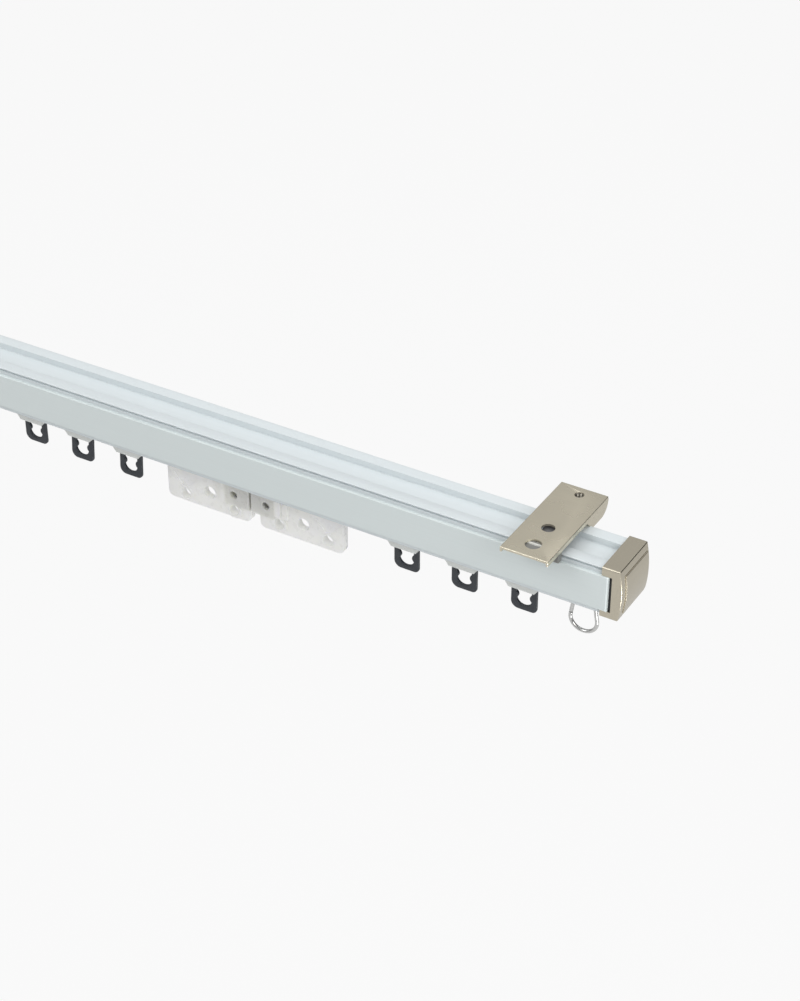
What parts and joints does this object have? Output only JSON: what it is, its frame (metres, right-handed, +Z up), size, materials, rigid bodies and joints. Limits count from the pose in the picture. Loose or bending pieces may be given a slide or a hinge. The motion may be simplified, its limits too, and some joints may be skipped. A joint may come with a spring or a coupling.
{
  "type": "curtain track",
  "caption": "Metal-faced curtain track with ceiling brackets, satin end covers, ring runners that slide and magnet carriers where two curtains meet.",
  "frame": {"origin": "in the ceiling plane, on the bracket plates' tops, midway between the brackets' middle screw holes", "axes": "+X along the track, +Y towards the wall or window behind it, +Z up to the ceiling"},
  "size_m": [0.4228, 0.0574, 0.0547],
  "materials": {
    "rail_white": "semi-gloss white paint",
    "panel_silver": "satin pale blue-grey paint",
    "cover_satin": "satin champagne nickel look",
    "stop_black": "moulded, black",
    "screw_steel": "zinc plated",
    "wire_steel": "bright nickel plated wire",
    "bracket_satin": "satin champagne nickel",
    "lever_grey": "moulded, grey",
    "runner_white": "moulded, white",
    "ring_dark": "moulded, dark grey",
    "carrier_white": "moulded, milky translucent",
    "magnet_grey": "nickel plated magnet"
  },
  "bodies": {
    "track": {"rail": "rail_white", "front_panel": "panel_silver", "end_cover_left": "cover_satin", "end_cover_right": "cover_satin", "end_stop_left": "stop_black", "end_stop_right": "stop_black", "stop_screw_left": "screw_steel", "stop_screw_right": "screw_steel", "bracket_left": "bracket_satin", "bracket_right": "bracket_satin"},
    "release_lever_left": {"release_lever_left": "lever_grey"},
    "end_ring_left": {"end_ring_left": "wire_steel"},
    "runner_left_1": {"runner_left_1": "runner_white"},
    "ring_left_1": {"ring_left_1": "ring_dark"},
    "runner_left_2": {"runner_left_2": "runner_white"},
    "ring_left_2": {"ring_left_2": "ring_dark"},
    "runner_left_3": {"runner_left_3": "runner_white"},
    "ring_left_3": {"ring_left_3": "ring_dark"},
    "carrier_left": {"carrier_left": "carrier_white", "carrier_magnet_left": "magnet_grey", "carrier_inner_glide_left": "runner_white", "carrier_outer_glide_left": "runner_white"},
    "release_lever_right": {"release_lever_right": "lever_grey"},
    "end_ring_right": {"end_ring_right": "wire_steel"},
    "runner_right_1": {"runner_right_1": "runner_white"},
    "ring_right_1": {"ring_right_1": "ring_dark"},
    "runner_right_2": {"runner_right_2": "runner_white"},
    "ring_right_2": {"ring_right_2": "ring_dark"},
    "runner_right_3": {"runner_right_3": "runner_white"},
    "ring_right_3": {"ring_right_3": "ring_dark"},
    "carrier_right": {"carrier_right": "carrier_white", "carrier_magnet_right": "magnet_grey", "carrier_inner_glide_right": "runner_white", "carrier_outer_glide_right": "runner_white"}
  },
  "joints": [
    {"name": "release_left", "type": "slide", "parent": "track", "child": "release_lever_left", "axis": [0, -1, 0], "range_m": [0, 0.0015], "stiffness_N_per_m": 400},
    {"name": "end_ring_swing_left", "type": "hinge", "parent": "track", "child": "end_ring_left", "pos_m": [-0.1879, 0.0054, -0.03265], "axis": [1, 0, 0], "range_deg": [-70, 70]},
    {"name": "runner_left_3_slide", "type": "slide", "parent": "track", "child": "runner_left_3", "axis": [-1, 0, 0], "range_m": [0, 0.0576]},
    {"name": "runner_left_2_slide", "type": "slide", "parent": "runner_left_3", "child": "runner_left_2", "axis": [-1, 0, 0], "range_m": [0, 0.0117]},
    {"name": "runner_left_1_slide", "type": "slide", "parent": "runner_left_2", "child": "runner_left_1", "axis": [-1, 0, 0], "range_m": [0, 0.0115]},
    {"name": "carrier_left_slide", "type": "slide", "parent": "runner_left_1", "child": "carrier_left", "axis": [-1, 0, 0], "range_m": [0, 0.0136]},
    {"name": "ring_swing_left_1", "type": "hinge", "parent": "runner_left_1", "child": "ring_left_1", "pos_m": [-0.0551, 0.0054, -0.03595], "axis": [1, 0, 0], "range_deg": [-26, 34]},
    {"name": "ring_swing_left_2", "type": "hinge", "parent": "runner_left_2", "child": "ring_left_2", "pos_m": [-0.0841, 0.0054, -0.03595], "axis": [1, 0, 0], "range_deg": [-25, 35]},
    {"name": "ring_swing_left_3", "type": "hinge", "parent": "runner_left_3", "child": "ring_left_3", "pos_m": [-0.1133, 0.0054, -0.03595], "axis": [1, 0, 0], "range_deg": [-30, 30]},
    {"name": "release_right", "type": "slide", "parent": "track", "child": "release_lever_right", "axis": [0, -1, 0], "range_m": [0, 0.0015], "stiffness_N_per_m": 400},
    {"name": "end_ring_swing_right", "type": "hinge", "parent": "track", "child": "end_ring_right", "pos_m": [0.1879, 0.0054, -0.03265], "axis": [1, 0, 0], "range_deg": [-70, 70]},
    {"name": "runner_right_3_slide", "type": "slide", "parent": "track", "child": "runner_right_3", "axis": [1, 0, 0], "range_m": [0, 0.0123]},
    {"name": "runner_right_2_slide", "type": "slide", "parent": "runner_right_3", "child": "runner_right_2", "axis": [1, 0, 0], "range_m": [0, 0.0127]},
    {"name": "runner_right_1_slide", "type": "slide", "parent": "runner_right_2", "child": "runner_right_1", "axis": [1, 0, 0], "range_m": [0, 0.0124]},
    {"name": "carrier_right_slide", "type": "slide", "parent": "runner_right_1", "child": "carrier_right", "axis": [1, 0, 0], "range_m": [0, 0.0237]},
    {"name": "ring_swing_right_1", "type": "hinge", "parent": "runner_right_1", "child": "ring_right_1", "pos_m": [0.09855, 0.0054, -0.03595], "axis": [1, 0, 0], "range_deg": [-30, 30]},
    {"name": "ring_swing_right_2", "type": "hinge", "parent": "runner_right_2", "child": "ring_right_2", "pos_m": [0.12845, 0.0054, -0.03595], "axis": [1, 0, 0], "range_deg": [-30, 30]},
    {"name": "ring_swing_right_3", "type": "hinge", "parent": "runner_right_3", "child": "ring_right_3", "pos_m": [0.1587, 0.0054, -0.03595], "axis": [1, 0, 0], "range_deg": [-30, 30]}
  ]
}
